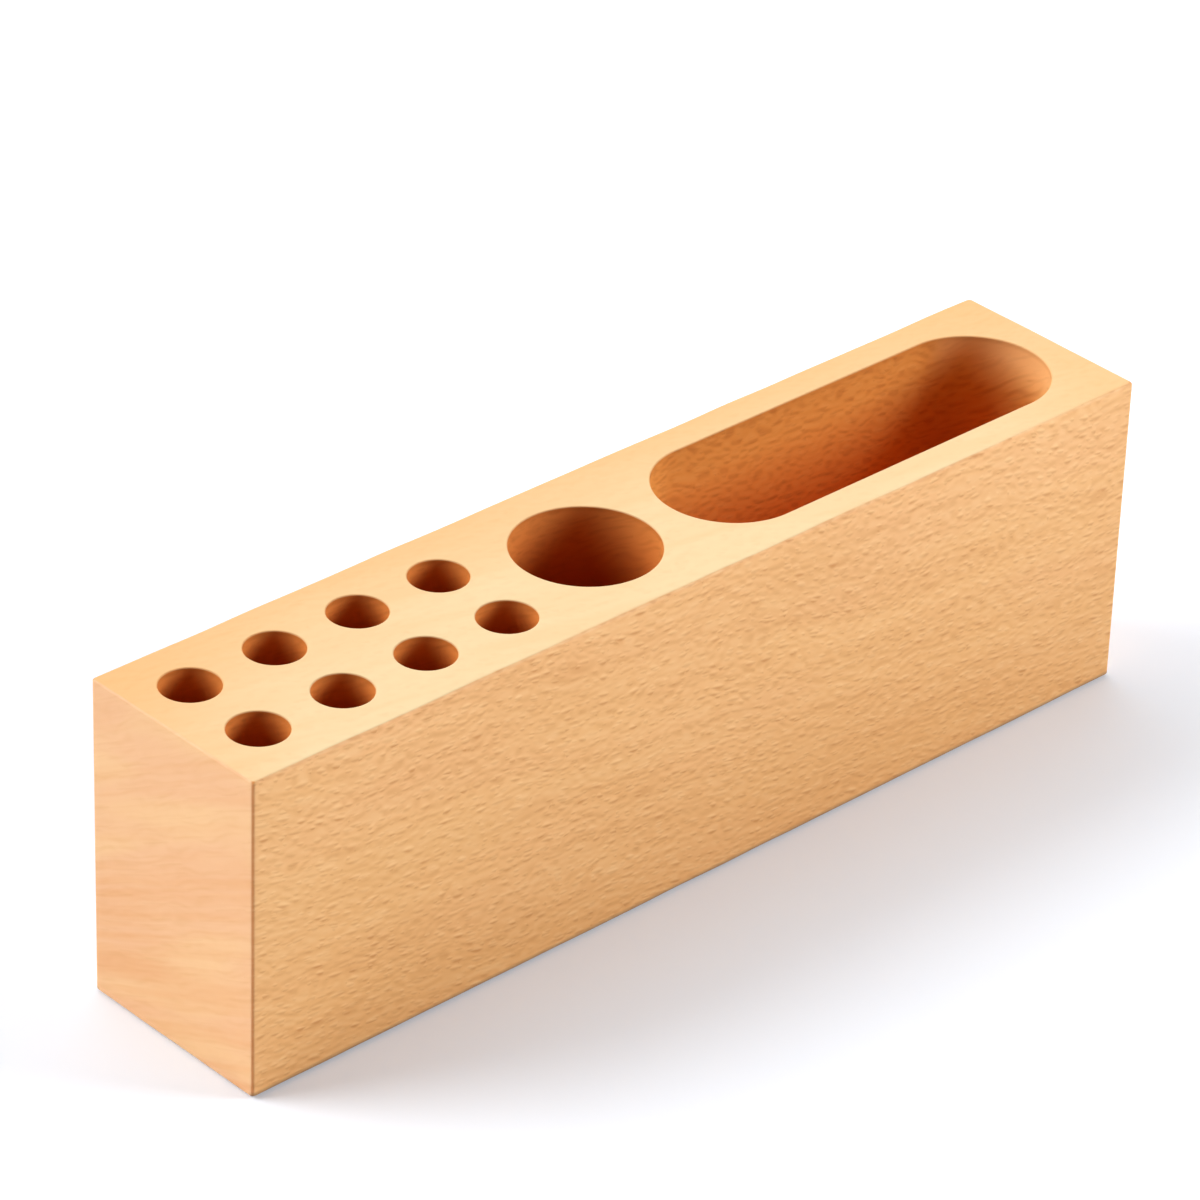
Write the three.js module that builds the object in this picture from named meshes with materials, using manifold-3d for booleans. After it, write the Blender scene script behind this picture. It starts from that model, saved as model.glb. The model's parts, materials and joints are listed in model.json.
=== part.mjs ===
// A desk pen holder: one block of solid beech with eight pen bores, a round well and a long
// slot sunk into its top, standing on four thin rubber pads let into its underside.
//
// Millimetres. +X runs along the grain to the right, -Y is the front, +Z is up.
// The origin lies on the desk, under the middle of the block.

import * as THREE from 'three';
import { mergeVertices } from 'three/addons/utils/BufferGeometryUtils.js';
import Module from 'manifold-3d';

const wasm = await Module();
wasm.setup();

// Walls of wood between the pockets, from the left end to the right end
const leftEndWall = 7;
const boreGap = 8.9;
const boresToWell = 8.6;
const wellToSlot = 8.3;
const rightEndWall = 7.4;

// Walls along the front and back, and the wood left under the pockets
const sideWall = 8;
const floorThickness = 15;

// Pockets. The outer rows of bores line up with the slot's sides.
const boreDiameter = 13;
const boreColumns = 4;
const boreRows = 2;
const wellDiameter = 32.4;
const slotLength = 107.6;
const slotWidth = 34;
const pocketDepth = 60;

// Eased edges
const topRound = 0.6;
const uprightRound = 0.8;
const bottomRound = 0.5;
const rimChamfer = 0.35;

// Pads, each glued into a counterbore and standing a little proud of the underside
const padDiameter = 12;
const padThickness = 2;
const padStand = 0.4;
const padEdgeRound = 0.3;
const padGap = 0.3;
const padEdgeWall = 6;

// Facets round a full circle, and across a rounded edge
const boreFacets = 40;
const wideFacets = 64;
const padFacets = 32;
const edgeFacets = 6;

// A cutter reaches this far past the wood that it cuts
const cutterReach = 5;

// Corners of neighbouring triangles that are closer than this are one corner
const weldDistance = 1e-4;

// What follows from the sizes above
const borePitch = boreDiameter + boreGap;
const rowPitch = (slotWidth - boreDiameter) / (boreRows - 1);
const boresLength = boreColumns * boreDiameter + (boreColumns - 1) * boreGap;
const pocketsLength = boresLength + boresToWell + wellDiameter + wellToSlot + slotLength;
const blockLength = leftEndWall + pocketsLength + rightEndWall;
const blockDepth = sideWall + slotWidth + sideWall;
const blockHeight = floorThickness + pocketDepth;
const undersideZ = padStand;
const topZ = undersideZ + blockHeight;
const firstBoreX = -blockLength / 2 + leftEndWall + boreDiameter / 2;
const firstRowY = -((boreRows - 1) * rowPitch) / 2;
const wellX = -blockLength / 2 + leftEndWall + boresLength + boresToWell + wellDiameter / 2;
const slotX = blockLength / 2 - rightEndWall - slotLength / 2;
const padX = blockLength / 2 - padEdgeWall - padGap - padDiameter / 2;
const padY = blockDepth / 2 - padEdgeWall - padGap - padDiameter / 2;

const beech = new THREE.MeshStandardMaterial({ color: 0xeab983, roughness: 0.55, metalness: 0 });
const rubber = new THREE.MeshStandardMaterial({ color: 0x3a352f, roughness: 0.9, metalness: 0 });

// A geometry as a solid that can be cut, and a cut solid as a geometry again

function solidOf(geometry) {
  const bare = geometry.index ? geometry.toNonIndexed() : geometry.clone();
  bare.deleteAttribute('normal');
  bare.deleteAttribute('uv');
  const merged = mergeVertices(bare, weldDistance);
  return new wasm.Manifold(new wasm.Mesh({
    numProp: 3,
    vertProperties: new Float32Array(merged.attributes.position.array),
    triVerts: new Uint32Array(merged.index.array),
  }));
}

function geometryOf(solid) {
  const mesh = solid.getMesh();
  const geometry = new THREE.BufferGeometry();
  geometry.setAttribute('position', new THREE.BufferAttribute(mesh.vertProperties, mesh.numProp));
  geometry.setIndex(new THREE.BufferAttribute(mesh.triVerts, 1));
  geometry.computeVertexNormals();
  return geometry;
}

// A rectangle from (left, low) to (right, high). Its low and its high corners have their own radii.
function roundedRectangle(left, low, right, high, lowRadius, highRadius) {
  const shape = new THREE.Shape();
  shape.moveTo(left + lowRadius, low);
  shape.lineTo(right - lowRadius, low);
  shape.absarc(right - lowRadius, low + lowRadius, lowRadius, -Math.PI / 2, 0, false);
  shape.lineTo(right, high - highRadius);
  shape.absarc(right - highRadius, high - highRadius, highRadius, 0, Math.PI / 2, false);
  shape.lineTo(left + highRadius, high);
  shape.absarc(left + highRadius, high - highRadius, highRadius, Math.PI / 2, Math.PI, false);
  shape.lineTo(left, low + lowRadius);
  shape.absarc(left + lowRadius, low + lowRadius, lowRadius, Math.PI, Math.PI * 1.5, false);
  return shape;
}

// A slot's outline round the origin, with half circles for ends
function slotOutline(length, width) {
  const radius = width / 2;
  const run = (length - width) / 2;
  const shape = new THREE.Shape();
  shape.absarc(run, 0, radius, -Math.PI / 2, Math.PI / 2, false);
  shape.absarc(-run, 0, radius, Math.PI / 2, Math.PI * 1.5, false);
  return shape;
}

// An arc gets two facets for each of its curve segments
function extrude(shape, depth, arcFacets, bevel = { bevelEnabled: false }) {
  return new THREE.ExtrudeGeometry(shape, { depth, curveSegments: arcFacets / 2, ...bevel });
}

// A solid turned about the Z axis from a profile of [radius, height] pairs
function turn(profile, facets) {
  const points = profile.map(([radius, height]) => new THREE.Vector2(radius, height));
  return new THREE.LatheGeometry(points, facets).rotateX(Math.PI / 2);
}

// The block before its pockets: its plan, its end view and its front view, each extruded
// through and through. Only what all three share is left, so every edge has its own round.
function blank() {
  const halfLength = blockLength / 2;
  const halfDepth = blockDepth / 2;
  const plan = roundedRectangle(-halfLength, -halfDepth, halfLength, halfDepth, uprightRound, uprightRound);
  const endView = roundedRectangle(-halfDepth, undersideZ, halfDepth, topZ, bottomRound, topRound);
  const frontView = roundedRectangle(-halfLength, undersideZ, halfLength, topZ, bottomRound, topRound);
  const fromPlan = extrude(plan, blockHeight + 2 * cutterReach, edgeFacets)
    .translate(0, 0, undersideZ - cutterReach);
  const fromEnd = extrude(endView, blockLength + 2 * cutterReach, edgeFacets)
    .translate(0, 0, -halfLength - cutterReach)
    .rotateX(Math.PI / 2)
    .rotateZ(Math.PI / 2);
  const fromFront = extrude(frontView, blockDepth + 2 * cutterReach, edgeFacets)
    .translate(0, 0, -halfDepth - cutterReach)
    .rotateX(Math.PI / 2);
  return solidOf(fromPlan).intersect(solidOf(fromEnd)).intersect(solidOf(fromFront));
}

// A round pocket's cutter: flat floor, straight wall, and a flare that chamfers the rim
function roundCutter(diameter, facets) {
  const radius = diameter / 2;
  return solidOf(turn([
    [0, topZ - pocketDepth],
    [radius, topZ - pocketDepth],
    [radius, topZ - rimChamfer],
    [radius + rimChamfer, topZ],
    [radius + rimChamfer, topZ + cutterReach],
    [0, topZ + cutterReach],
  ], facets));
}

// The slot's cutter, with the same floor and flare
function slotCutter() {
  const wall = extrude(slotOutline(slotLength, slotWidth), pocketDepth, wideFacets / 2)
    .translate(0, 0, topZ - pocketDepth);
  const mouthOutline = slotOutline(slotLength + 2 * rimChamfer, slotWidth + 2 * rimChamfer);
  const mouth = extrude(mouthOutline, cutterReach, wideFacets / 2, {
    bevelThickness: rimChamfer,
    bevelSize: rimChamfer,
    bevelOffset: -rimChamfer,
    bevelSegments: 1,
  }).translate(0, 0, topZ);
  return solidOf(wall).add(solidOf(mouth));
}

function padPlaces() {
  const places = [];
  for (const [side, y] of [['front', -padY], ['back', padY]]) {
    for (const [end, x] of [['left', -padX], ['right', padX]]) {
      places.push({ name: `pad_${side}_${end}`, x, y });
    }
  }
  return places;
}

// The recess that a pad is glued into, as deep as the pad goes in
function padRecess() {
  const radius = padDiameter / 2 + padGap;
  return solidOf(turn([
    [0, undersideZ - cutterReach],
    [radius, undersideZ - cutterReach],
    [radius, padThickness],
    [0, padThickness],
  ], padFacets));
}

function blockGeometry() {
  let block = blank();
  const boreCutter = roundCutter(boreDiameter, boreFacets);
  for (let row = 0; row < boreRows; row += 1) {
    for (let column = 0; column < boreColumns; column += 1) {
      const x = firstBoreX + column * borePitch;
      const y = firstRowY + row * rowPitch;
      block = block.subtract(boreCutter.translate(x, y, 0));
    }
  }
  block = block.subtract(roundCutter(wellDiameter, wideFacets).translate(wellX, 0, 0));
  block = block.subtract(slotCutter().translate(slotX, 0, 0));
  const recess = padRecess();
  for (const { x, y } of padPlaces()) {
    block = block.subtract(recess.translate(x, y, 0));
  }
  return geometryOf(block);
}

// A pad's disc, standing on the desk, with its lower edge eased
function padGeometry() {
  const radius = padDiameter / 2;
  return turn([
    [0, 0],
    [radius - padEdgeRound, 0],
    [radius, padEdgeRound],
    [radius, padThickness],
    [0, padThickness],
  ], padFacets);
}

const penHolder = new THREE.Group();

const block = new THREE.Mesh(blockGeometry(), beech);
block.name = 'beech_block';
penHolder.add(block);

for (const { name, x, y } of padPlaces()) {
  const pad = new THREE.Mesh(padGeometry(), rubber);
  pad.name = name;
  pad.position.set(x, y, 0);
  penHolder.add(pad);
}

export default penHolder;
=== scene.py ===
# A beech pen holder in a bright soft studio. The block is one solid piece of wood with eight
# pen bores, a round well and a long slot sunk into its top, and it stands on four rubber pads.

import json
import math

import bpy
from mathutils import Matrix, Vector, noise


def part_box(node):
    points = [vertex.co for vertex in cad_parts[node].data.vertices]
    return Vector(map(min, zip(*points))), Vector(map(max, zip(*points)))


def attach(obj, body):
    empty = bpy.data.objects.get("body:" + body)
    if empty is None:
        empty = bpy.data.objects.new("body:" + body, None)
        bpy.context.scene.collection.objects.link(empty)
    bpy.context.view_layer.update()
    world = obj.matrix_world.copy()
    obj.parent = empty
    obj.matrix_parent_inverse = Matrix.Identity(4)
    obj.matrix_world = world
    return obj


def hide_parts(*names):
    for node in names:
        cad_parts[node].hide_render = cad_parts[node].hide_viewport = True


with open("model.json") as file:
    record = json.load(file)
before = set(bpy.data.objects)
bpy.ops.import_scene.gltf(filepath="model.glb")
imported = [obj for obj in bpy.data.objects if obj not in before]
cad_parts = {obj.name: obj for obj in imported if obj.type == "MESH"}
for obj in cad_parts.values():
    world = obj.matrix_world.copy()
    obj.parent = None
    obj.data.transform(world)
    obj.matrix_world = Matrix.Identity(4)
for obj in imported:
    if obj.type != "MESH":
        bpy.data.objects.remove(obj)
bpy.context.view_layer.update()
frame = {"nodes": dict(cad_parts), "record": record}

MM = 0.001

# Pockets. Their places come from the frame.
BORE_RADIUS = 6.5 * MM
WELL_RADIUS = 16.2 * MM
SLOT_RADIUS = 17 * MM
SLOT_RUN = 36.8 * MM
POCKET_DEPTH = 60 * MM
RIM_ROUND = 0.35 * MM
CUTTER_CORNER = 0.6 * MM
BORE_FACETS = 64
WIDE_FACETS = 128
SMALL_ROUND_FACETS = 5

# Edges of the block, sanded by hand, so their rounds wander a little
TOP_ROUND = 0.6 * MM
UPRIGHT_ROUND = 0.8 * MM
BOTTOM_ROUND = 0.5 * MM
TOP_ROUND_FACETS = 6
UPRIGHT_ROUND_FACETS = 8
BOTTOM_ROUND_FACETS = 4
SANDING_WANDER = 0.5
SANDING_WANDER_LENGTH = 14 * MM
STATION_GAP = 4 * MM

# A flat face gets a narrow strip of this width beside each round, so that it shades flat
GUARD = 0.3 * MM
LEVEL_TOLERANCE = GUARD / 10
WELD_DISTANCE = 0.002 * MM

# Pads and the recesses that they are glued into
PAD_RECESS_RADIUS = 6.3 * MM
PAD_LOWER_ROUND = 0.3 * MM
PAD_UPPER_ROUND = 0.1 * MM
PAD_FACETS = 64

block_low, block_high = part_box("beech_block")
pad_names = sorted(name for name in frame["nodes"] if name.startswith("pad_"))
openings = {row["name"]: row["box_m"] for row in frame["record"]["physics"]["openings"]}


def pocket_centre(name):
    """The middle of a pocket, in the plane of the block's top."""
    low, high = openings[name]
    return Vector(((low[0] + high[0]) / 2, (low[1] + high[1]) / 2, block_high.z))


def pad_centre(name):
    """The middle of a pad's lower face, on the desk."""
    low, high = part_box(name)
    return Vector(((low.x + high.x) / 2, (low.y + high.y) / 2, low.z))


class Wiring:
    """Adds nodes to a tree and joins them up."""

    def __init__(self, tree):
        self.tree = tree

    def set_socket(self, socket, value):
        """Gives an input a number, a vector or the socket that feeds it."""
        if isinstance(value, bpy.types.NodeSocket):
            self.tree.links.new(value, socket)
        else:
            socket.default_value = value

    def feed(self, node, inputs):
        """Sets a node's inputs, each by its name or number."""
        for key, value in inputs.items():
            self.set_socket(node.inputs[key], value)

    def put(self, kind, inputs=None, **settings):
        """A new node with its settings and its inputs."""
        node = self.tree.nodes.new(kind)
        for name, value in settings.items():
            setattr(node, name, value)
        self.feed(node, inputs or {})
        return node

    def math(self, operation, *values, clamp=False):
        inputs = dict(enumerate(values))
        return self.put("ShaderNodeMath", inputs, operation=operation, use_clamp=clamp).outputs[0]

    def product(self, first, *others):
        """Any number of values multiplied together."""
        result = first
        for other in others:
            result = self.math("MULTIPLY", result, other)
        return result

    def vector(self, operation, *values):
        inputs = dict(enumerate(values))
        return self.put("ShaderNodeVectorMath", inputs, operation=operation).outputs[0]

    def scaled(self, vector, factor):
        node = self.put("ShaderNodeVectorMath", {0: vector, "Scale": factor}, operation="SCALE")
        return node.outputs[0]

    def axes(self, vector):
        """The three numbers of a vector."""
        return self.put("ShaderNodeSeparateXYZ", {0: vector}).outputs

    def combined(self, x=0.0, y=0.0, z=0.0):
        return self.put("ShaderNodeCombineXYZ", {0: x, 1: y, 2: z}).outputs[0]

    def stepped(self, value, low, high):
        """0 below low and 1 above high, with a smooth rise between them."""
        inputs = {"Value": value, "From Min": low, "From Max": high}
        return self.put("ShaderNodeMapRange", inputs, interpolation_type="SMOOTHSTEP").outputs[0]

    def ranged(self, value, low, high, to_low, to_high):
        """A straight change of range, held at its ends."""
        inputs = {0: value, 1: low, 2: high, 3: to_low, 4: to_high}
        return self.put("ShaderNodeMapRange", inputs).outputs[0]

    def blended(self, factor, first, second):
        """The second colour laid over the first."""
        node = self.put("ShaderNodeMix", data_type="RGBA")
        for name, value in {"Factor": factor, "A": first, "B": second}.items():
            socket = [s for s in node.inputs if s.name == name and s.enabled][0]
            self.set_socket(socket, value)
        return [s for s in node.outputs if s.enabled][0]

    def noise(self, place, lump, detail):
        """Soft noise round a half, with lumps of the given size along each axis."""
        vector = self.vector("DIVIDE", place, lump)
        inputs = {"Vector": vector, "Scale": 1.0, "Detail": detail}
        return self.put("ShaderNodeTexNoise", inputs).outputs

    def attribute(self, name):
        return self.put("ShaderNodeAttribute", attribute_name=name).outputs["Fac"]


def geometry_tree(name, sizes):
    """A new Geometry Nodes tree with its wiring and its named inputs."""
    tree = bpy.data.node_groups.new(name, "GeometryNodeTree")
    tree.interface.new_socket("Geometry", in_out="OUTPUT", socket_type="NodeSocketGeometry")
    for size, kind in sizes.items():
        tree.interface.new_socket(size, in_out="INPUT", socket_type="NodeSocket" + kind)
    wiring = Wiring(tree)
    return wiring, wiring.put("NodeGroupInput").outputs


def set_inputs(modifier, values):
    """Sets a Geometry Nodes modifier's inputs by their identifiers."""
    for item in modifier.node_group.interface.items_tree:
        if item.in_out == "INPUT" and item.name in values:
            modifier[item.identifier] = values[item.name]


def evaluated_piece(name, start_mesh, tree, values):
    """A plain mesh object made from a start mesh by a Geometry Nodes tree."""
    maker = bpy.data.objects.new(name + "_maker", start_mesh)
    bpy.context.scene.collection.objects.link(maker)
    modifier = maker.modifiers.new("made", "NODES")
    modifier.node_group = tree
    set_inputs(modifier, values)
    graph = bpy.context.evaluated_depsgraph_get()
    mesh = bpy.data.meshes.new_from_object(maker.evaluated_get(graph))
    mesh.name = name
    bpy.data.objects.remove(maker)
    piece = bpy.data.objects.new(name, mesh)
    bpy.context.scene.collection.objects.link(piece)
    return piece


# Turned and milled forms

def joined(w, *parts):
    node = w.put("GeometryNodeJoinGeometry")
    for part in parts:
        w.tree.links.new(part, node.inputs[0])
    return node.outputs[0]


def moved(w, form, offset):
    return w.put("GeometryNodeTransform", {"Geometry": form, "Translation": offset}).outputs[0]


def pulled_circle(w, radius, run, facets):
    """A circle cut across the middle and pulled apart into a slot by twice the run."""
    circle = w.put("GeometryNodeCurvePrimitiveCircle", {"Resolution": facets, "Radius": radius})
    half_step = w.math("DIVIDE", math.pi, facets)
    turned = w.put("GeometryNodeTransform", {
        "Geometry": circle.outputs["Curve"],
        "Rotation": w.combined(z=half_step),
    }).outputs[0]
    side = w.math("SIGN", w.axes(w.put("GeometryNodeInputPosition").outputs[0])[0])
    offset = w.combined(x=w.product(side, run))
    return w.put("GeometryNodeSetPosition", {"Geometry": turned, "Offset": offset}).outputs[0]


def edge_profile(w, corners, facets):
    """A line through corners given as (outward, downward, radius of the round there)."""
    points = []
    for outward, downward, radius in reversed(corners):
        points.append(w.put("GeometryNodePoints", {
            "Count": 1,
            "Position": w.combined(x=outward, y=downward),
            "Radius": radius,
        }).outputs[0])
    line = w.put("GeometryNodePointsToCurves", {"Points": joined(w, *points)}).outputs[0]
    return w.put("GeometryNodeFilletCurve", {
        "Curve": line,
        "Count": facets,
        "Radius": w.put("GeometryNodeInputRadius").outputs[0],
        "Limit Radius": True,
    }, mode="POLY").outputs[0]


def swept(w, path, profile):
    return w.put("GeometryNodeCurveToMesh", {"Curve": path, "Profile Curve": profile}).outputs[0]


def filled(w, curve, height):
    """A flat face inside a closed curve, facing up."""
    face = w.put("GeometryNodeFillCurve", {"Curve": curve}, mode="TRIANGLES").outputs[0]
    return moved(w, face, w.combined(z=height))


def blind_pocket_tree():
    """A pocket's rim, wall and floor, with its rim at height 0. The attribute called bored goes
    from 0 at the rim to 1 on the wall, where the cutter rubbed the wood."""
    w, size = geometry_tree("Blind pocket", {
        "Radius": "Float",
        "Run": "Float",
        "Depth": "Float",
        "Rim Round": "Float",
        "Corner Round": "Float",
        "Guard": "Float",
        "Facets": "Int",
    })
    rim_strip = w.math("ADD", size["Rim Round"], size["Guard"])
    corner_strip = w.math("ADD", size["Corner Round"], size["Guard"])
    corner_inset = w.product(corner_strip, -1)
    profile = edge_profile(w, [
        (corner_inset, size["Depth"], 0.0),
        (0.0, size["Depth"], size["Corner Round"]),
        (0.0, w.math("SUBTRACT", size["Depth"], corner_strip), 0.0),
        (0.0, rim_strip, 0.0),
        (0.0, 0.0, size["Rim Round"]),
        (rim_strip, 0.0, 0.0),
    ], facets=SMALL_ROUND_FACETS)
    path = pulled_circle(w, size["Radius"], size["Run"], size["Facets"])
    inner_radius = w.math("SUBTRACT", size["Radius"], corner_strip)
    inner_path = pulled_circle(w, inner_radius, size["Run"], size["Facets"])
    floor_height = w.product(size["Depth"], -1)
    lining = joined(w, swept(w, path, profile), filled(w, inner_path, floor_height))
    height = w.axes(w.put("GeometryNodeInputPosition").outputs[0])[2]
    depth = w.math("DIVIDE", w.product(height, -1), size["Rim Round"], clamp=True)
    marked = w.put("GeometryNodeStoreNamedAttribute", {
        "Geometry": lining,
        "Name": "bored",
        "Value": depth,
    }, data_type="FLOAT", domain="POINT").outputs[0]
    w.put("NodeGroupOutput", {0: marked})
    return w.tree


def face_at(w, geometry, height, faces_down):
    """Flat wood inside the open edges that lie at one height."""
    edge_height = w.axes(w.put("GeometryNodeInputPosition").outputs[0])[2]
    heights = {"A": edge_height, "B": height, "Epsilon": LEVEL_TOLERANCE}
    at_height = w.put("FunctionNodeCompare", heights, data_type="FLOAT", operation="EQUAL").outputs[0]
    neighbours = w.put("GeometryNodeInputMeshEdgeNeighbors").outputs[0]
    is_open = w.put("FunctionNodeCompare", {2: neighbours, 3: 1},
                    data_type="INT", operation="EQUAL").outputs[0]
    chosen = w.put("FunctionNodeBooleanMath", {0: at_height, 1: is_open}, operation="AND").outputs[0]
    loops = w.put("GeometryNodeMeshToCurve", {"Mesh": geometry, "Selection": chosen}).outputs[0]
    face = filled(w, loops, height)
    if faces_down:
        face = w.put("GeometryNodeFlipFaces", {"Mesh": face}).outputs[0]
    return face


def grid_of(w, instance, columns, rows, pitch_x, pitch_y, middle):
    """Copies of a form on a level grid round its middle."""
    size_x = w.product(pitch_x, w.math("SUBTRACT", columns, 1))
    size_y = w.product(pitch_y, w.math("SUBTRACT", rows, 1))
    grid = w.put("GeometryNodeMeshGrid", {
        "Size X": size_x,
        "Size Y": size_y,
        "Vertices X": columns,
        "Vertices Y": rows,
    }).outputs[0]
    points = w.put("GeometryNodeMeshToPoints", {"Mesh": moved(w, grid, middle)}).outputs[0]
    return w.put("GeometryNodeInstanceOnPoints", {"Points": points, "Instance": instance}).outputs[0]


def drilled_block_tree(sanded, bored):
    """The block's sanded skin, with its pockets and pad recesses sunk into it."""
    w, size = geometry_tree("Drilled block", {
        "Skin": "Geometry",
        "Top": "Float",
        "Underside": "Float",
        "Pocket Depth": "Float",
        "Rim Round": "Float",
        "Corner Round": "Float",
        "Guard": "Float",
        "Bore Radius": "Float",
        "Bore Columns": "Int",
        "Bore Rows": "Int",
        "Bore Pitch": "Float",
        "Row Pitch": "Float",
        "Bores Middle": "Vector",
        "Well Radius": "Float",
        "Well Middle": "Vector",
        "Slot Radius": "Float",
        "Slot Run": "Float",
        "Slot Middle": "Vector",
        "Recess Radius": "Float",
        "Recess Depth": "Float",
        "Recess Pitch X": "Float",
        "Recess Pitch Y": "Float",
        "Bore Facets": "Int",
        "Wide Facets": "Int",
    })
    pocket_tree = blind_pocket_tree()

    def pocket(radius, run, depth, rim_round, corner_round, facets):
        return w.put("GeometryNodeGroup", {
            "Radius": radius,
            "Run": run,
            "Depth": depth,
            "Rim Round": rim_round,
            "Corner Round": corner_round,
            "Guard": size["Guard"],
            "Facets": facets,
        }, node_tree=pocket_tree).outputs[0]

    rounds = (size["Rim Round"], size["Corner Round"])
    bore = pocket(size["Bore Radius"], 0.0, size["Pocket Depth"], *rounds, size["Bore Facets"])
    bores = grid_of(w, bore, size["Bore Columns"], size["Bore Rows"], size["Bore Pitch"],
                    size["Row Pitch"], size["Bores Middle"])
    well = pocket(size["Well Radius"], 0.0, size["Pocket Depth"], *rounds, size["Wide Facets"])
    slot = pocket(size["Slot Radius"], size["Slot Run"], size["Pocket Depth"], *rounds,
                  size["Wide Facets"])
    small_rounds = (w.math("DIVIDE", size["Rim Round"], 2), w.math("DIVIDE", size["Corner Round"], 4))
    recess = pocket(size["Recess Radius"], 0.0, size["Recess Depth"], *small_rounds,
                    size["Bore Facets"])
    turned_recess = w.put("GeometryNodeTransform", {
        "Geometry": recess,
        "Rotation": (math.pi, 0, 0),
    }).outputs[0]
    recesses = grid_of(w, turned_recess, 2, 2, size["Recess Pitch X"], size["Recess Pitch Y"],
                       w.combined(z=size["Underside"]))
    pockets = joined(w, bores, moved(w, well, size["Well Middle"]), moved(w, slot, size["Slot Middle"]),
                     recesses)
    real_pockets = w.put("GeometryNodeRealizeInstances", {"Geometry": pockets}).outputs[0]
    open_block = joined(w, size["Skin"], real_pockets)
    closed = joined(w, open_block, face_at(w, open_block, size["Top"], faces_down=False),
                    face_at(w, open_block, size["Underside"], faces_down=True))
    welded = w.put("GeometryNodeMergeByDistance", {
        "Geometry": closed,
        "Distance": WELD_DISTANCE,
    }).outputs[0]
    smooth = w.put("GeometryNodeSetShadeSmooth", {"Geometry": welded}).outputs[0]
    real = w.put("GeometryNodeRealizeInstances", {"Geometry": smooth}).outputs[0]
    all_sanded = w.put("GeometryNodeSetMaterial", {"Geometry": real, "Material": sanded}).outputs[0]
    mark = w.put("GeometryNodeInputNamedAttribute", {"Name": "bored"}, data_type="FLOAT").outputs[0]
    inside = w.math("GREATER_THAN", mark, 0.0)
    finished = w.put("GeometryNodeSetMaterial", {
        "Geometry": all_sanded,
        "Selection": inside,
        "Material": bored,
    }).outputs[0]
    w.put("NodeGroupOutput", {0: finished})
    return w.tree


# The block's outside

def quarter_round(radius, facets):
    """Steps of a quarter round, as (how far in, how far down) from the sharp edge's corner."""
    steps = []
    for k in range(facets + 1):
        angle = math.pi / 2 * k / facets
        steps.append((radius * (1 - math.sin(angle)), radius * (1 - math.cos(angle))))
    return steps


def skin_levels():
    """Levels of the skin from the underside up, as (height of the face, inset, drop below it)."""
    levels = [(block_low.z, BOTTOM_ROUND + GUARD, 0.0)]
    for inset, rise in quarter_round(BOTTOM_ROUND, BOTTOM_ROUND_FACETS):
        levels.append((block_low.z, inset, -rise))
    levels.append((block_low.z, 0.0, -BOTTOM_ROUND - GUARD))
    levels.append((block_high.z, 0.0, TOP_ROUND + GUARD))
    for inset, drop in reversed(quarter_round(TOP_ROUND, TOP_ROUND_FACETS)):
        levels.append((block_high.z, inset, drop))
    levels.append((block_high.z, TOP_ROUND + GUARD, 0.0))
    return levels


def stations(half_length):
    """Places along a straight side, clear of its corners."""
    corner_room = 3 * (UPRIGHT_ROUND + GUARD)
    reach = half_length - corner_room
    count = round(2 * reach / STATION_GAP)
    return [reach * (2 * k / count - 1) for k in range(count + 1)]


def skin_ring(inset):
    """One level's outline, anticlockwise, as (point, 1 along the crest of an upright edge, 0 off it)."""
    half_length = block_high.x - inset
    half_depth = block_high.y - inset
    radius = UPRIGHT_ROUND + inset / 2
    ring = []
    for quarter, (side_x, side_y) in enumerate(((1, 1), (-1, 1), (-1, -1), (1, -1))):
        centre = Vector((side_x * (half_length - radius), side_y * (half_depth - radius)))
        start = quarter * math.pi / 2
        before = Vector((math.sin(start), -math.cos(start))) * GUARD
        after = Vector((-math.cos(start), -math.sin(start))) * GUARD
        arc = []
        for k in range(UPRIGHT_ROUND_FACETS + 1):
            angle = start + math.pi / 2 * k / UPRIGHT_ROUND_FACETS
            arc.append(centre + Vector((math.cos(angle), math.sin(angle))) * radius)
        ring.append((arc[0] + before, 0.0))
        ring.extend((point, math.sin(math.pi * k / UPRIGHT_ROUND_FACETS)) for k, point in enumerate(arc))
        ring.append((arc[-1] + after, 0.0))
        if quarter % 2 == 0:
            level_y = centre.y + side_y * radius
            ring.extend((Vector((-side_y * x, level_y)), 0.0) for x in stations(block_high.x))
        else:
            level_x = centre.x + side_x * radius
            ring.extend((Vector((level_x, side_x * y)), 0.0) for y in stations(block_high.y))
    return ring


def sanded_skin():
    """The block's outside: four sides, its rounds, and a narrow rim of its top and underside."""
    outline = skin_ring(0)
    vertices = []
    for face_height, inset, drop in skin_levels():
        for (outer, _), (inner, _) in zip(outline, skin_ring(inset)):
            spot = Vector((outer.x, outer.y, face_height)) / SANDING_WANDER_LENGTH
            wander = 1 + SANDING_WANDER * noise.noise(spot)
            point = outer.lerp(inner, wander)
            vertices.append((point.x, point.y, face_height - drop * wander))
    count = len(outline)
    faces = []
    for low in range(0, len(vertices) - count, count):
        high = low + count
        for k in range(count):
            following = (k + 1) % count
            faces.append((low + k, low + following, high + following, high + k))
    mesh = bpy.data.meshes.new("sanded_skin")
    mesh.from_pydata(vertices, [], faces)
    on_arris = [value for _, value in outline] * (len(vertices) // count)
    mesh.attributes.new("arris", "FLOAT", "POINT").data.foreach_set("value", on_arris)
    return mesh


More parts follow.
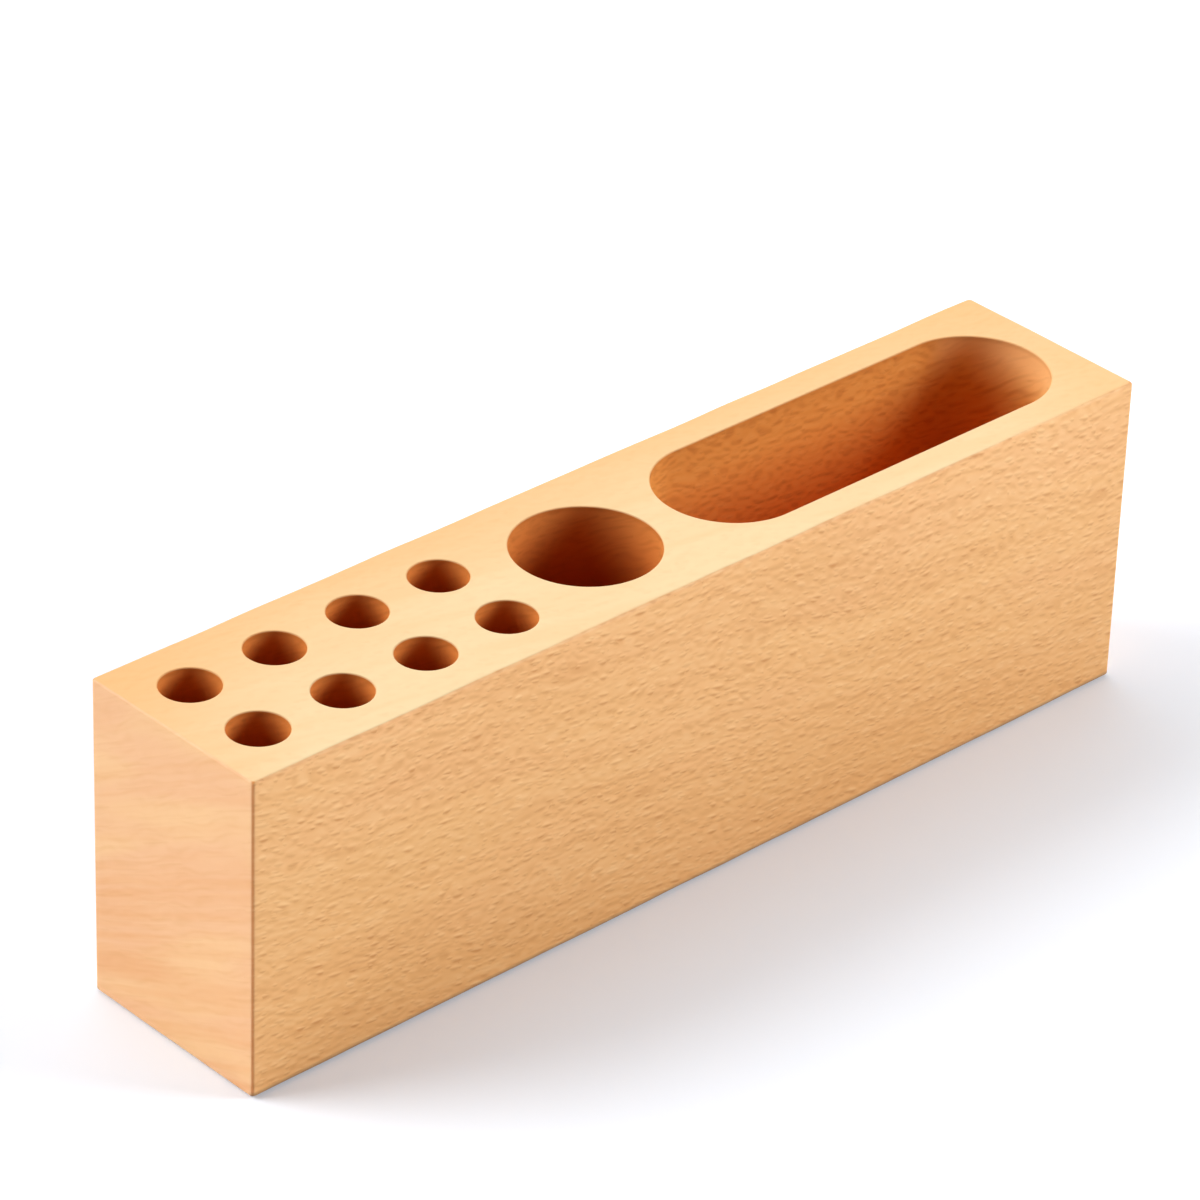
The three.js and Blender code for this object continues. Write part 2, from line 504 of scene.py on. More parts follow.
def beech_block(sanded, bored):
    """The drilled and routed block."""
    first, last = pocket_centre("bore_front_1"), pocket_centre("bore_back_4")
    columns = sum(name.startswith("bore_front_") for name in openings)
    rows = sum(name.endswith("_1") for name in openings)
    centres = [pad_centre(name) for name in pad_names]
    pad_top = max(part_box(name)[1].z for name in pad_names)
    values = {
        "Top": block_high.z,
        "Underside": block_low.z,
        "Pocket Depth": POCKET_DEPTH,
        "Rim Round": RIM_ROUND,
        "Corner Round": CUTTER_CORNER,
        "Guard": GUARD,
        "Bore Radius": BORE_RADIUS,
        "Bore Columns": columns,
        "Bore Rows": rows,
        "Bore Pitch": (last.x - first.x) / (columns - 1),
        "Row Pitch": (last.y - first.y) / (rows - 1),
        "Bores Middle": (first + last) / 2,
        "Well Radius": WELL_RADIUS,
        "Well Middle": pocket_centre("well"),
        "Slot Radius": SLOT_RADIUS,
        "Slot Run": SLOT_RUN,
        "Slot Middle": pocket_centre("slot"),
        "Recess Radius": PAD_RECESS_RADIUS,
        "Recess Depth": pad_top - block_low.z,
        "Recess Pitch X": 2 * max(centre.x for centre in centres),
        "Recess Pitch Y": 2 * max(centre.y for centre in centres),
        "Bore Facets": BORE_FACETS,
        "Wide Facets": WIDE_FACETS,
    }
    return evaluated_piece("sanded_block", sanded_skin(), drilled_block_tree(sanded, bored), values)


# Pads

def turned_pad_tree(rubber):
    """A rubber disc with eased edges, standing on the desk."""
    w, size = geometry_tree("Turned pad", {
        "Start": "Geometry",
        "Radius": "Float",
        "Thickness": "Float",
        "Lower Round": "Float",
        "Upper Round": "Float",
        "Guard": "Float",
        "Facets": "Int",
        "Middle": "Vector",
    })
    lower_strip = w.math("ADD", size["Lower Round"], size["Guard"])
    upper_strip = w.math("ADD", size["Upper Round"], size["Guard"])
    profile = edge_profile(w, [
        (w.product(upper_strip, -1), 0.0, 0.0),
        (0.0, 0.0, size["Upper Round"]),
        (0.0, size["Thickness"], size["Lower Round"]),
        (w.product(lower_strip, -1), size["Thickness"], 0.0),
    ], facets=SMALL_ROUND_FACETS)
    side = swept(w, pulled_circle(w, size["Radius"], 0.0, size["Facets"]), profile)
    top_path = pulled_circle(w, w.math("SUBTRACT", size["Radius"], upper_strip), 0.0, size["Facets"])
    low_path = pulled_circle(w, w.math("SUBTRACT", size["Radius"], lower_strip), 0.0, size["Facets"])
    underside = filled(w, low_path, w.product(size["Thickness"], -1))
    turned_over = w.put("GeometryNodeFlipFaces", {"Mesh": underside}).outputs[0]
    disc = joined(w, side, filled(w, top_path, 0.0), turned_over)
    welded = w.put("GeometryNodeMergeByDistance", {
        "Geometry": disc,
        "Distance": WELD_DISTANCE,
    }).outputs[0]
    lift = w.vector("ADD", size["Middle"], w.combined(z=size["Thickness"]))
    smooth = w.put("GeometryNodeSetShadeSmooth", {"Geometry": moved(w, welded, lift)}).outputs[0]
    real = w.put("GeometryNodeRealizeInstances", {"Geometry": smooth}).outputs[0]
    finished = w.put("GeometryNodeSetMaterial", {"Geometry": real, "Material": rubber}).outputs[0]
    w.put("NodeGroupOutput", {0: finished})
    return w.tree


def rubber_pad(name, tree):
    """One pad, made where its node is."""
    low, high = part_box(name)
    values = {
        "Radius": (high.x - low.x) / 2,
        "Thickness": high.z - low.z,
        "Lower Round": PAD_LOWER_ROUND,
        "Upper Round": PAD_UPPER_ROUND,
        "Guard": GUARD,
        "Facets": PAD_FACETS,
        "Middle": pad_centre(name),
    }
    return evaluated_piece("rubber_" + name, bpy.data.meshes.new("empty"), tree, values)


# Finishes. Wood is coloured through and through, from where a point lay in the tree. Sizes
# here are in millimetres, and colours are linear.

# The tree's pith, far behind the block and below the desk. The front face lies about a ring's
# radius from it. The grain drops a little to the right.
PITH_Y = 353
PITH_Z = -150
RING_RADIUS = 420
GRAIN_DROP = 0.12
GRAIN_PITCH = 2.5

# How far the fibres stray from straight, and over what lumps of the block that changes
DRIFT = 5
DRIFT_LUMP = (48, 120, 60)
FINE_DRIFT = 1
FINE_DRIFT_LUMP = (8, 45, 6)

# Ray flecks, as (length along the grain, thickness, reach towards the pith). Each has a cell
# somewhat longer and thicker than itself.
LARGE_FLECKS = (4.3, 1.65, 12)
SMALL_FLECKS = (2.8, 1.15, 9)
SMALL_FLECK_STRENGTH = 0.8
CELL_LENGTH = 1.1
CELL_THICKNESS = 1.4
SHORTEST_HALF = 0.28
LONGEST_HALF = 0.56
FAINTEST_FLECK = 0.05
FLECK_EDGE = (-0.2, 0.7)
HALVES_MEET = (-0.35, 0.35)
SEED_SHIFT = Vector((31.7, 17.3, 11.9))

# Lumps of the softer patterns, as (along the grain, out from the pith, round the rings)
SWERVE_LUMP = (9, 9, 4)
GRAIN_LUMP = (3.2, 9, 2.6)
STREAK_LUMP = (55, 12, 2.8)
YEAR_LUMP = (260, 70, 2.3)
RING_LUMP = (260, 2.4, 90)
BAND_LUMP = (150, 60, 13)
PATCH_LUMP = (60, 40, 30)
GRAIN_SWERVE = 1.6

# Sanded wood
SANDED_TONE = (0.875, 0.475, 0.185, 1)
PINK_TONE = (0.89, 0.47, 0.20, 1)
HONEY_TONE = (0.82, 0.435, 0.145, 1)
# Painted shade, low on the long sides
LOW_SHADE_TONE = (0.84, 0.42, 0.14, 1)
END_TONE = (0.87, 0.485, 0.245, 1)
END_CREAM_TONE = (0.89, 0.53, 0.255, 1)
YEAR_TONE = (0.82, 0.39, 0.16, 1)
# Cream of the painted sheen on the top
CREAM_TONE = (0.83, 0.622, 0.342, 1)
# Dark of the flecks and the grain, with the painted shade on each fleck's lower half
FLECK_SHADE = (0.66, 0.28, 0.078, 1)
# Pale of the grain, with the painted highlight on each fleck's upper half
FLECK_LIGHT = (0.97, 0.62, 0.28, 1)
FIBRE_SHADE = (0.72, 0.365, 0.135, 1)
ARRIS_TONE = (0.78, 0.24, 0.03, 1)
# Painted shadow along the long lower edges, where the block meets the desk
CONTACT_SHADOW_TONE = (0.36, 0.20, 0.085, 1)
SANDED_ROUGHNESS = 0.5
GRAIN_ROUGHNESS = (0.58, 0.48)

# How strongly each tone of sanded wood lies over the one before it, from 0 to 1
BAND_SHARE = 0.6
PATCH_SHARE = 0.5
LOW_SHADE_SHARE = 0.55
END_CREAM_BANDS = (0.3, 0.9)
YEAR_SHARES = (0.75, 0.25)
TOP_STREAKS = (-0.6, 1)
TOP_STREAK_SHARE = 0.3
ARRIS_CREST = (0.5, 1)
ARRIS_SHARE = 0.75
RING_SHARE = 0.14
SHADE_SHARE = 0.78
GLOW_SHARE = 0.5
CONTACT_SHADOW_SHARE = 0.85

# How strongly each kind of figure counts, and how much of it is left on the top and on the ends
GRAIN_WEIGHT = 0.4
STREAK_WEIGHT = 0.25
LIGHT_FLECK_WEIGHT = 0.9
LEFT_ON_TOP = 0.12
LEFT_ON_ENDS = 0.3
FLECKS_LEFT_ON_ENDS = 0.6

# Where tones change: depths below the top and in from the ends, heights above the desk or the
# underside, and depths in from the front and back
TOP_SKIN = (0.18, 0.02)
END_SKIN = (0.6, 0.1)
# The painted shade low on the long sides fades out over these heights
LOW_SHADE_HEIGHTS = (2, 38)
# The painted shadow along the long lower edges lies within these heights and depths
CONTACT_SHADOW_HEIGHTS = (0.35, 1.3)
CONTACT_SHADOW_SKIN = (1.5, 0.5)

# A painted sheen lies on the top, palest along its front. Over these stretches of its depth and length,
# and of its length less a share of its depth, it turns warmer, until so much of the pale tone is left.
WARM_BACK = (30, 0)
WARM_LEFT_CORNER = (-135, -90)
WARM_CORNER_SLANT = 0.8
WARM_RIGHT = (90, 120)
PALE_LEFT_AT_BACK = 0.15
PALE_LEFT_AT_CORNER = 0.3
PALE_LEFT_AT_RIGHT = 0.4

# Wood that the cutters rubbed, with painted shade deep in the pockets
ROUTED_TONE = (0.75, 0.32, 0.072, 1)
# Painted shade deep in the slot
ROUTED_PAINTED_SHADE = (0.80, 0.22, 0.04, 1)
BORED_TONE = (0.77, 0.275, 0.062, 1)
# Painted shade deep in the bores and the well
BORED_PAINTED_SHADE = (0.49, 0.10, 0.012, 1)
# Dark of the cut grain and flecks, also used for the painted shadow and the rim shade
CUT_SHADE = (0.38, 0.09, 0.016, 1)
CUT_LIGHT = (0.90, 0.47, 0.14, 1)
# Painted light, high up on the slot's right end
END_LIGHT_TONE = (0.93, 0.50, 0.19, 1)
CUT_ROUGHNESS = 0.7
CUT_SPECULAR = 0.08
DRILLED_MOTTLE = 0.2
ROUTED_MOTTLE = 0.27
MOTTLE_LEFT = 0.3
MOTTLE_FADE = 2
ROUTED_GLINTS = (0.16, 0.07)

# A pocket's tones start this far short of it, in solid wood
POCKET_MARGIN = 1

# Depths below the top at which the pockets' tones and painted shade change, and places back from
# the slot's right end, where a painted shadow lies on the wall and painted light on the end
BORE_DARK_DEPTH = 9
WELL_DARK_DEPTH = 17
ROUTED_DEPTHS = (8, 30)
END_LIGHT_DEPTHS = (4, 13)
END_LIGHT_FROM = (15, 6)
END_SHADOW_DEPTHS = (4, 24)
END_SHADOW_FROM = (32, 9)
END_SHADOW_UNTIL = (8, 2)
END_SHADOW_SHARE = 0.42
END_SHADOW_HIGH_UP = 0.15
RIM_SHADE_DEPTHS = (0.3, 1.5)
RIM_SHADE_SHARE = 0.25

# Rubber, with a fine speckle that also roughens it
RUBBER_TONE = (0.04, 0.036, 0.03, 1)
RUBBER_DARK = (0.03, 0.027, 0.023, 1)
RUBBER_PALE = (0.062, 0.056, 0.048, 1)
RUBBER_ROUGHNESS = 0.85
RUBBER_LUMP = (0.25, 0.25, 0.25)
RUBBER_PALE_SPECKS = (0.4, 0.65)
RUBBER_ROUGH_SPECKS = (0.3, 0.7)
RUBBER_ROUGHNESSES = (0.75, 0.95)
RUBBER_BUMP = 0.03 * MM
RUBBER_BUMP_STRENGTH = 0.5


def plain_finish(name, colour, roughness):
    """A new material with its wiring and its shader."""
    material = bpy.data.materials.new(name)
    material.use_nodes = True
    material.node_tree.nodes.clear()
    w = Wiring(material.node_tree)
    shader = w.put("ShaderNodeBsdfPrincipled", {"Base Color": colour, "Roughness": roughness})
    w.put("ShaderNodeOutputMaterial", {"Surface": shader.outputs[0]})
    return material, w, shader


def place_in_block(w):
    """A point's place on the block's own axes, in millimetres."""
    return w.scaled(w.put("ShaderNodeTexCoord").outputs["Object"], 1 / MM)


def strayed(w, place, lump, reach):
    """How far the fibres have strayed, across the grain only, to either side of straight."""
    either_way = w.vector("SUBTRACT", w.noise(place, lump, 0.0)["Color"], (0.5, 0.5, 0.5))
    return w.vector("MULTIPLY", either_way, (0, reach, reach))


def place_in_tree(w, place):
    """A place as (along the grain, out from the pith, round the rings), with the fibres' wander."""
    x, y, z = w.axes(place)
    across = w.math("SUBTRACT", PITH_Y, y)
    up = w.math("SUBTRACT", z, PITH_Z)
    out = w.math("SQRT", w.math("ADD", w.product(across, across), w.product(up, up)))
    turned = w.product(w.math("ARCTAN2", up, across), RING_RADIUS)
    turned = w.math("ADD", turned, w.product(x, GRAIN_DROP))
    wander = w.vector("ADD", strayed(w, place, DRIFT_LUMP, DRIFT),
                      strayed(w, place, FINE_DRIFT_LUMP, FINE_DRIFT))
    return w.vector("ADD", w.combined(x, out, turned), wander)


def ray_flecks(w, grown, length, thickness, reach, seed):
    """The lens-shaped ends of the wood's rays, as (strength of the lower half, of the upper half).
    The halves carry a painted shade and a painted highlight, as if each fleck stood raised and
    lit from above.
    """
    cell = (length * CELL_LENGTH, reach, thickness * CELL_THICKNESS)
    scaled = w.vector("DIVIDE", w.vector("ADD", grown, SEED_SHIFT * seed), cell)
    cells = w.put("ShaderNodeTexVoronoi", {"Vector": scaled, "Scale": 1.0}).outputs
    offset = w.vector("MULTIPLY", w.vector("SUBTRACT", scaled, cells["Position"]), cell)
    along, _, across = w.axes(offset)
    chance, size, _ = w.axes(cells["Color"])
    half_length = w.ranged(size, 0, 1, length * SHORTEST_HALF, length * LONGEST_HALF)
    lengthwise = w.math("DIVIDE", along, half_length)
    taper = w.math("SUBTRACT", 1, w.product(lengthwise, lengthwise))
    height = w.math("DIVIDE", across, thickness / 2)
    spare = w.math("SUBTRACT", taper, w.math("ABSOLUTE", height))
    inside = w.product(w.stepped(spare, *FLECK_EDGE), w.ranged(chance, 0, 1, FAINTEST_FLECK, 1))
    upper = w.product(inside, w.stepped(height, *HALVES_MEET))
    lower = w.math("SUBTRACT", inside, upper)
    return lower, upper


def wood_figure(w):
    """The beech's own figure: a place in the block, and how strong each kind of fleck, line and
    patch is there. Grain and streak run from -1, dark, to 1, light, and the others from 0 to 1."""
    place = place_in_block(w)
    grown = place_in_tree(w, place)
    low_large, high_large = ray_flecks(w, grown, *LARGE_FLECKS, seed=1)
    low_small, high_small = ray_flecks(w, grown, *SMALL_FLECKS, seed=2)
    swerve = w.product(w.noise(grown, SWERVE_LUMP, 0.0)["Fac"], GRAIN_SWERVE)
    turns = w.math("ADD", w.math("DIVIDE", w.axes(grown)[2], GRAIN_PITCH), swerve)
    wave = w.math("SINE", w.product(turns, 2 * math.pi))

    def pattern(lump, weakest, low=0.35, high=0.65, detail=1.0):
        """Noise between two levels, stretched to run from its weakest to 1."""
        return w.ranged(w.noise(grown, lump, detail)["Fac"], low, high, weakest, 1)

    return {
        "place": place,
        "low": w.math("MAXIMUM", low_large, w.product(low_small, SMALL_FLECK_STRENGTH)),
        "high": w.math("MAXIMUM", high_large, w.product(high_small, SMALL_FLECK_STRENGTH)),
        "grain": w.product(wave, pattern(GRAIN_LUMP, -1, detail=0.0)),
        "streak": pattern(STREAK_LUMP, -1, low=0.3, high=0.7),
        "year": pattern(YEAR_LUMP, 0, low=0.4, high=0.68),
        "ring": pattern(RING_LUMP, 0),
        "band": pattern(BAND_LUMP, 0),
        "patch": pattern(PATCH_LUMP, 0),
    }


def near_face(w, distance, half_size, skin):
    """0 deeper under a face than the skin's first depth, and 1 shallower than its second."""
    deep, shallow = skin
    return w.stepped(distance, half_size / MM - deep, half_size / MM - shallow)


def top_and_ends(w, place):
    """How far a place belongs to the pale sanded top and to the ends, from 0 to 1."""
    x, _, z = w.axes(place)
    top = near_face(w, z, block_high.z, TOP_SKIN)
    ends = near_face(w, w.math("ABSOLUTE", x), block_high.x, END_SKIN)
    return top, ends


def top_with_painted_sheen(w, place, tone):
    """A painted sheen that leaves the top paler than the sides: palest along its front, warmer
    towards the back and both ends.
    """
    x, y, _ = w.axes(place)
    slanted = w.math("SUBTRACT", x, w.product(y, WARM_CORNER_SLANT))
    towards_front = w.ranged(y, *WARM_BACK, PALE_LEFT_AT_BACK, 1)
    from_left_corner = w.ranged(slanted, *WARM_LEFT_CORNER, PALE_LEFT_AT_CORNER, 1)
    from_right = w.ranged(x, *WARM_RIGHT, 1, PALE_LEFT_AT_RIGHT)
    return w.blended(w.product(towards_front, from_left_corner, from_right), tone, CREAM_TONE)


def side_tone(w, figure):
    """The long sides: pink bands and honey patches, and painted shade low down, darker towards the desk.
    """
    tone = w.blended(w.product(figure["band"], BAND_SHARE), SANDED_TONE, PINK_TONE)
    tone = w.blended(w.product(figure["patch"], PATCH_SHARE), tone, HONEY_TONE)
    # Darker towards the desk: painted shade
    low_down = w.ranged(w.axes(figure["place"])[2], *LOW_SHADE_HEIGHTS, LOW_SHADE_SHARE, 0)
    return w.blended(low_down, tone, LOW_SHADE_TONE)


def end_tone(w, figure):
    """The ends: cream bands, and year lines that are fainter in the patches."""
    tone = w.blended(w.stepped(figure["band"], *END_CREAM_BANDS), END_TONE, END_CREAM_TONE)
    year = w.product(figure["year"], w.ranged(figure["patch"], 0, 1, *YEAR_SHARES))
    return w.blended(year, tone, YEAR_TONE)


def flecked(w, figure, tone, on_sides, ends):
    """Growth rings, ray flecks and wavy grain over a tone: each fleck painted dark below and light
    above, a painted shade and a painted highlight.
    """
    tone = w.blended(w.product(figure["ring"], on_sides, RING_SHARE), tone, FIBRE_SHADE)
    flecks_show = w.ranged(ends, 0, 1, 1, FLECKS_LEFT_ON_ENDS)
    waves = w.math("ADD", w.product(figure["grain"], GRAIN_WEIGHT),
                   w.product(figure["streak"], STREAK_WEIGHT))
    low = w.math("SUBTRACT", w.product(figure["low"], flecks_show), w.math("MINIMUM", waves, 0))
    high = w.math("ADD", w.product(figure["high"], flecks_show, LIGHT_FLECK_WEIGHT),
                  w.math("MAXIMUM", waves, 0))
    tone = w.blended(w.product(low, on_sides, SHADE_SHARE), tone, FLECK_SHADE)
    return w.blended(w.product(high, on_sides, GLOW_SHARE), tone, FLECK_LIGHT)


def painted_contact_shadow(w, place, tone):
    """A painted shadow along the long lower edges, where the block meets the desk."""
    _, y, z = w.axes(place)
    low_edge = w.ranged(w.math("SUBTRACT", z, block_low.z / MM), *CONTACT_SHADOW_HEIGHTS, CONTACT_SHADOW_SHARE, 0)
    deep, shallow = CONTACT_SHADOW_SKIN
    long_side = w.ranged(w.math("ABSOLUTE", y), block_high.y / MM - deep,
                         block_high.y / MM - shallow, 0, 1)
    return w.blended(w.product(low_edge, long_side), tone, CONTACT_SHADOW_TONE)


def sanded_colour(w, figure):
    """Sanded beech: flecked along its sides, almost plain cream on top under a painted sheen, and
    faintly lined at its ends, with its upright edges darker brown along their crests."""
    place = figure["place"]
    top, ends = top_and_ends(w, place)
    tone = w.blended(ends, side_tone(w, figure), end_tone(w, figure))
    top_streak = w.ranged(figure["streak"], *TOP_STREAKS, 0, TOP_STREAK_SHARE)
    # On the top, its painted sheen
    tone = w.blended(top, tone, w.blended(top_streak, top_with_painted_sheen(w, place, tone), PINK_TONE))
    crest = w.stepped(w.attribute("arris"), *ARRIS_CREST)
    crest = w.product(crest, w.ranged(top, 0, 1, ARRIS_SHARE, 0))
    tone = w.blended(crest, tone, ARRIS_TONE)
    on_sides = w.product(w.ranged(top, 0, 1, 1, LEFT_ON_TOP), w.ranged(ends, 0, 1, 1, LEFT_ON_ENDS))
    # A painted shadow along the long lower edges
    return painted_contact_shadow(w, place, flecked(w, figure, tone, on_sides, ends))


def sanded_beech():
    material, w, shader = plain_finish("sanded beech", SANDED_TONE, SANDED_ROUGHNESS)
    figure = wood_figure(w)
    w.feed(shader, {
        "Base Color": sanded_colour(w, figure),
        "Roughness": w.ranged(figure["grain"], -1, 1, *GRAIN_ROUGHNESS),
    })
    return material


def drilled_tone(w, x, depth):
    """Brown where the drills rubbed the wood, and darker and redder with depth in a painted shade,
    sooner in the narrow bores than in the wide well.
    """
    well_start = (pocket_centre("well").x - WELL_RADIUS) / MM
    past_bores = w.math("GREATER_THAN", x, well_start - POCKET_MARGIN)
    dark_depth = w.ranged(past_bores, 0, 1, BORE_DARK_DEPTH, WELL_DARK_DEPTH)
    return w.blended(w.math("DIVIDE", depth, dark_depth, clamp=True), BORED_TONE, BORED_PAINTED_SHADE)


def painted_end_light(w, x, depth, slot_end):
    """A painted pool of light, high up on the slot's right end and fading with depth."""
    start, full = END_LIGHT_FROM
    return w.product(w.stepped(x, slot_end - start, slot_end - full),
                     w.ranged(depth, *END_LIGHT_DEPTHS, 1, 0))


def routed_tone(w, figure, depth, painted_light):
    """Left lighter by the router, with the wood's own flecks and their painted highlights, darker and
    redder with depth in a painted shade, and lightest in the painted light on the slot's right end.
    """
    # Darker and redder with depth: painted shade down in the slot
    tone = w.blended(w.ranged(depth, *ROUTED_DEPTHS, 0, 1), ROUTED_TONE, ROUTED_PAINTED_SHADE)
    # Pale grain, and the painted highlights on the flecks' upper halves
    glints = w.math("ADD", figure["high"], w.math("MAXIMUM", figure["grain"], 0))
    glints = w.product(glints, w.ranged(depth, *ROUTED_DEPTHS, *ROUTED_GLINTS))
    tone = w.blended(glints, tone, CUT_LIGHT)
    return w.blended(painted_light, tone, END_LIGHT_TONE)


def painted_end_shadow(w, x, depth, slot_end):
    """A painted shadow that the slot's right end casts on the wall short of it, fainter high up."""
    start, full = END_SHADOW_FROM
    fading, stop = END_SHADOW_UNTIL
    return w.product(w.stepped(x, slot_end - start, slot_end - full),
                     w.ranged(x, slot_end - fading, slot_end - stop, END_SHADOW_SHARE, 0),
                     w.ranged(depth, *END_SHADOW_DEPTHS, END_SHADOW_HIGH_UP, 1))


def mottled(w, figure, depth, in_slot, painted_light):
    """How dark the flecks and the grain show on a cut wall, and faintly on a pocket's floor."""
    floor_depth = POCKET_DEPTH / MM
    # The flecks' lower halves with their painted shade, and the dark of the grain
    dark = w.math("SUBTRACT", figure["low"], w.math("MINIMUM", figure["grain"], 0))
    return w.product(dark, w.ranged(in_slot, 0, 1, DRILLED_MOTTLE, ROUTED_MOTTLE),
                     w.ranged(painted_light, 0, 1, 1, MOTTLE_LEFT),
                     w.ranged(depth, floor_depth - MOTTLE_FADE, floor_depth, 1, MOTTLE_LEFT))


def bored_colour(w, figure):
    """Beech inside the pockets: each pocket's own tone, darker with depth in a painted shade, and a
    pale rim that carries the top's painted sheen.
    """
    x, _, z = w.axes(figure["place"])
    depth = w.math("SUBTRACT", block_high.z / MM, z)
    slot_start = (pocket_centre("slot").x - SLOT_RUN - SLOT_RADIUS) / MM
    slot_end = (pocket_centre("slot").x + SLOT_RUN + SLOT_RADIUS) / MM
    in_slot = w.math("GREATER_THAN", x, slot_start - POCKET_MARGIN)
    # A painted pool of light high up on the slot's right end
    painted_light = painted_end_light(w, x, depth, slot_end)
    tone = w.blended(in_slot, drilled_tone(w, x, depth), routed_tone(w, figure, depth, painted_light))
    # A painted shadow on the wall short of the slot's right end
    tone = w.blended(painted_end_shadow(w, x, depth, slot_end), tone, CUT_SHADE)
    tone = w.blended(mottled(w, figure, depth, in_slot, painted_light), tone, CUT_SHADE)
    tone = w.blended(w.ranged(depth, *RIM_SHADE_DEPTHS, RIM_SHADE_SHARE, 0), tone, CUT_SHADE)
    # The rim takes the top's tone with its painted sheen
    at_rim = top_with_painted_sheen(w, figure["place"], SANDED_TONE)
    return w.blended(w.attribute("bored"), at_rim, tone)


def bored_beech():
    material, w, shader = plain_finish("bored beech", BORED_TONE, CUT_ROUGHNESS)
    w.feed(shader, {
        "Base Color": bored_colour(w, wood_figure(w)),
        "Specular IOR Level": CUT_SPECULAR,
    })
    return material


def pad_rubber():
    material, w, shader = plain_finish("pad rubber", RUBBER_TONE, RUBBER_ROUGHNESS)
    speckle = w.noise(place_in_block(w), RUBBER_LUMP, 3.0)["Fac"]
    pale = w.ranged(speckle, *RUBBER_PALE_SPECKS, 0, 1)
    bump = w.put("ShaderNodeBump", {
        "Height": speckle,
        "Strength": RUBBER_BUMP_STRENGTH,
        "Distance": RUBBER_BUMP,
    })
    w.feed(shader, {
        "Base Color": w.blended(pale, RUBBER_DARK, RUBBER_PALE),
        "Roughness": w.ranged(speckle, *RUBBER_ROUGH_SPECKS, *RUBBER_ROUGHNESSES),
        "Normal": bump.outputs[0],
    })
    return material


# Studio

LENS = 180.31
SENSOR_WIDTH = 36
VIEW_AZIMUTH = math.radians(-43.828)
VIEW_ELEVATION = math.radians(31.166)
VIEW_ROLL = math.radians(2.080)
VIEW_DISTANCE = 1253.37 * MM
AIM = Vector((-9.82, 0, 60.48)) * MM
NEAREST_SEEN = 10 * MM

# The sky is white, at half strength, but dark on the camera's side, as a studio is. Broad light
# falls from the back left and from overhead, and a soft box stands off the right front corner.
SKY_LEVEL = 0.52
DARK_LEVEL = 0.02
DARK_SIDE = Vector((-0.69, -0.72, 0.15))
DARK_SIDE_EDGE = (-0.25, 0.25)
LEFT_LIGHT = (Vector((-0.604, 0.579, 0.545)), 0.9, math.radians(40))
TOP_LIGHT = (Vector((0.12, 0.42, 0.9)), 0.28, math.radians(50))
BOX_SIZE = 0.85
BOX_DISTANCE = 2.0
BOX_FROM = Vector((0.66, -0.63, 0.42))
BOX_LEVEL = 0.765
FLOOR_SIZE = 12
FLOOR_COLOUR = (0.855, 0.885, 0.935, 1)
FLOOR_ROUGHNESS = 0.9
FLOOR_LIFT = 0.11
FLOOR_LIFT_COLOUR = (0.65, 0.85, 1.1, 1)


def set_camera():
    """The camera at the photograph's angle, turned a little about its own axis."""
    data = bpy.data.cameras.new("camera")
    data.lens = LENS
    data.sensor_width = SENSOR_WIDTH
    data.clip_start = NEAREST_SEEN
    camera = bpy.data.objects.new("camera", data)
    bpy.context.scene.collection.objects.link(camera)
    turn = (Matrix.Rotation(VIEW_AZIMUTH, 4, "Z")
            @ Matrix.Rotation(math.pi / 2 - VIEW_ELEVATION, 4, "X")
            @ Matrix.Rotation(VIEW_ROLL, 4, "Z"))
    camera.matrix_world = Matrix.Translation(AIM + turn.to_3x3().col[2] * VIEW_DISTANCE) @ turn
    bpy.context.scene.camera = camera


def soft_light(name, direction, level, softness):
    """Light from one side of the sky. A white face square to it is lit to its level."""
    data = bpy.data.lights.new(name, "SUN")
    data.energy = level * math.pi
    data.angle = softness
    light = bpy.data.objects.new(name, data)
    light.rotation_euler = direction.to_track_quat("Z", "Y").to_euler()
    bpy.context.scene.collection.objects.link(light)


def soft_box():
    """A square lamp that faces the block. A white face square to it is lit to its level."""
    data = bpy.data.lights.new("soft_box", "AREA")
    data.size = BOX_SIZE
    data.energy = BOX_LEVEL * (math.pi * BOX_DISTANCE) ** 2
    light = bpy.data.objects.new("soft_box", data)
    light.location = BOX_FROM.normalized() * BOX_DISTANCE
    light.rotation_euler = BOX_FROM.to_track_quat("Z", "Y").to_euler()
    light.visible_camera = False
    bpy.context.scene.collection.objects.link(light)


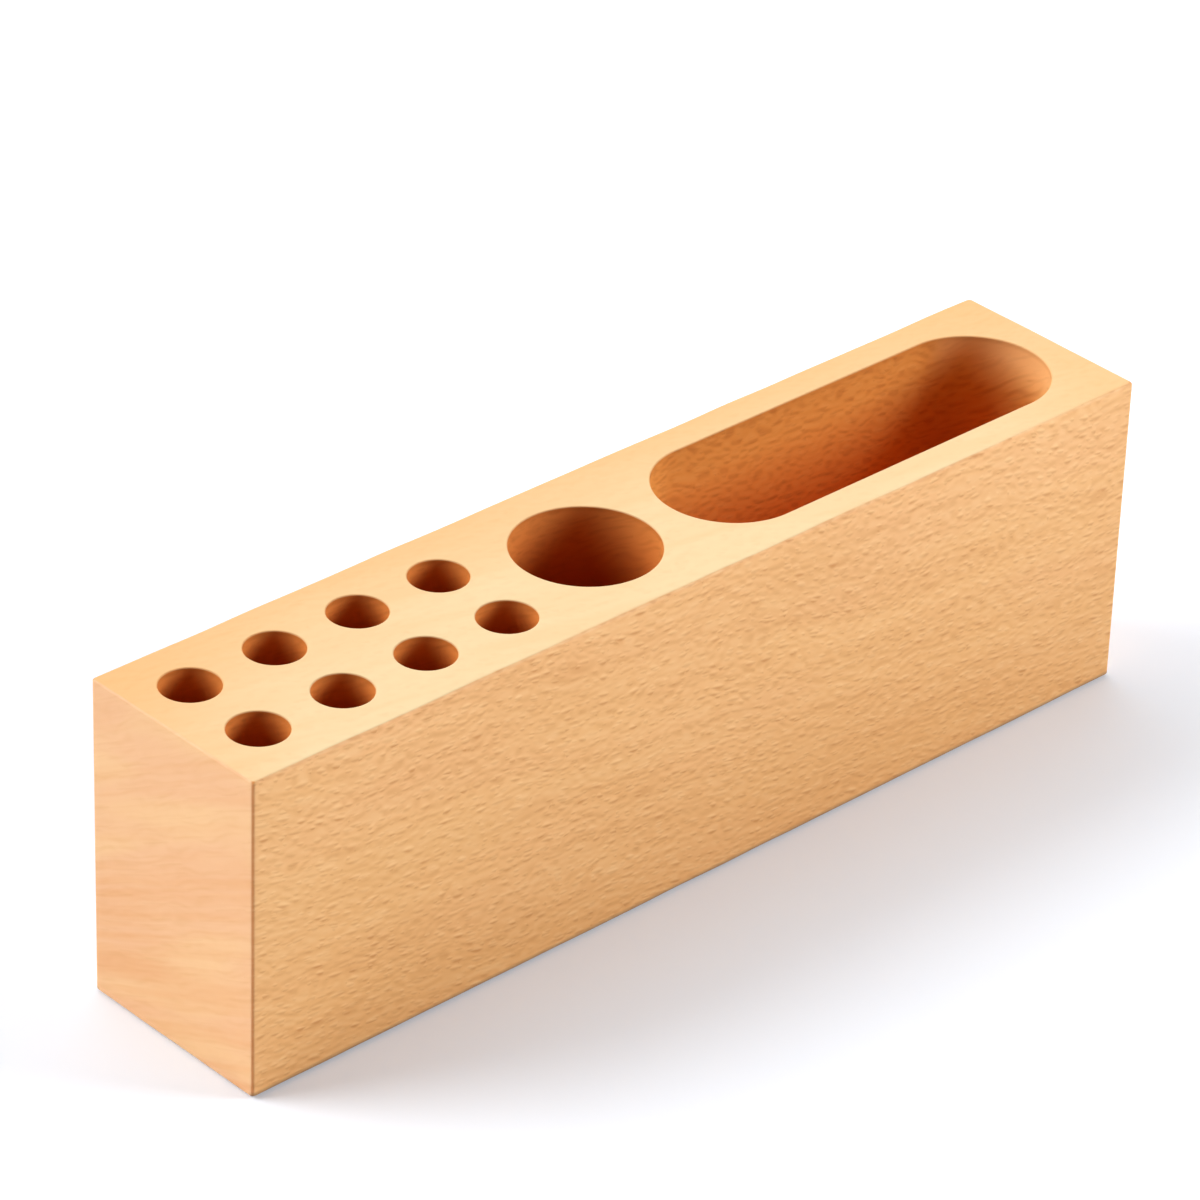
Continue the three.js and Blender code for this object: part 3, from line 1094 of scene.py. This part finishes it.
def set_world():
    """The sky that lights the block, and plain white where the camera sees it."""
    world = bpy.data.worlds.new("studio")
    world.use_nodes = True
    world.node_tree.nodes.clear()
    w = Wiring(world.node_tree)
    looking = w.put("ShaderNodeTexCoord").outputs["Generated"]
    facing = w.put("ShaderNodeVectorMath", {0: looking, 1: DARK_SIDE.normalized()},
                   operation="DOT_PRODUCT").outputs["Value"]
    sky_level = w.ranged(w.stepped(facing, *DARK_SIDE_EDGE), 0, 1, SKY_LEVEL, DARK_LEVEL)
    seen = w.put("ShaderNodeLightPath").outputs["Is Camera Ray"]
    unseen = w.math("SUBTRACT", 1, seen)
    strength = w.math("ADD", w.product(sky_level, unseen), seen)
    sky = w.put("ShaderNodeBackground", {"Color": (1, 1, 1, 1), "Strength": strength})
    w.put("ShaderNodeOutputWorld", {"Surface": sky.outputs[0]})
    bpy.context.scene.world = world


def lay_floor():
    """A plain floor of a faintly cool white. It looks a little brighter to the camera than it is,
    so that it runs out into white, and it keeps the block's shadow."""
    mesh = bpy.data.meshes.new("floor")
    half = FLOOR_SIZE / 2
    mesh.from_pydata([(-half, -half, 0), (half, -half, 0), (half, half, 0), (-half, half, 0)], [],
                     [(0, 1, 2, 3)])
    floor = bpy.data.objects.new("floor", mesh)
    bpy.context.scene.collection.objects.link(floor)
    material, w, shader = plain_finish("floor", FLOOR_COLOUR, FLOOR_ROUGHNESS)
    seen = w.put("ShaderNodeLightPath").outputs["Is Camera Ray"]
    w.feed(shader, {
        "Emission Color": FLOOR_LIFT_COLOUR,
        "Emission Strength": w.product(seen, FLOOR_LIFT),
    })
    mesh.materials.append(material)


block = beech_block(sanded_beech(), bored_beech())
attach(block, "root")
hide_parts("beech_block")

pad_tree = turned_pad_tree(pad_rubber())
for pad_name in pad_names:
    pad = rubber_pad(pad_name, pad_tree)
    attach(pad, "root")
    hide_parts(pad_name)

set_camera()
set_world()
soft_light("left", *LEFT_LIGHT)
soft_light("top", *TOP_LIGHT)
soft_box()
lay_floor()
bpy.context.scene.view_settings.view_transform = "Standard"
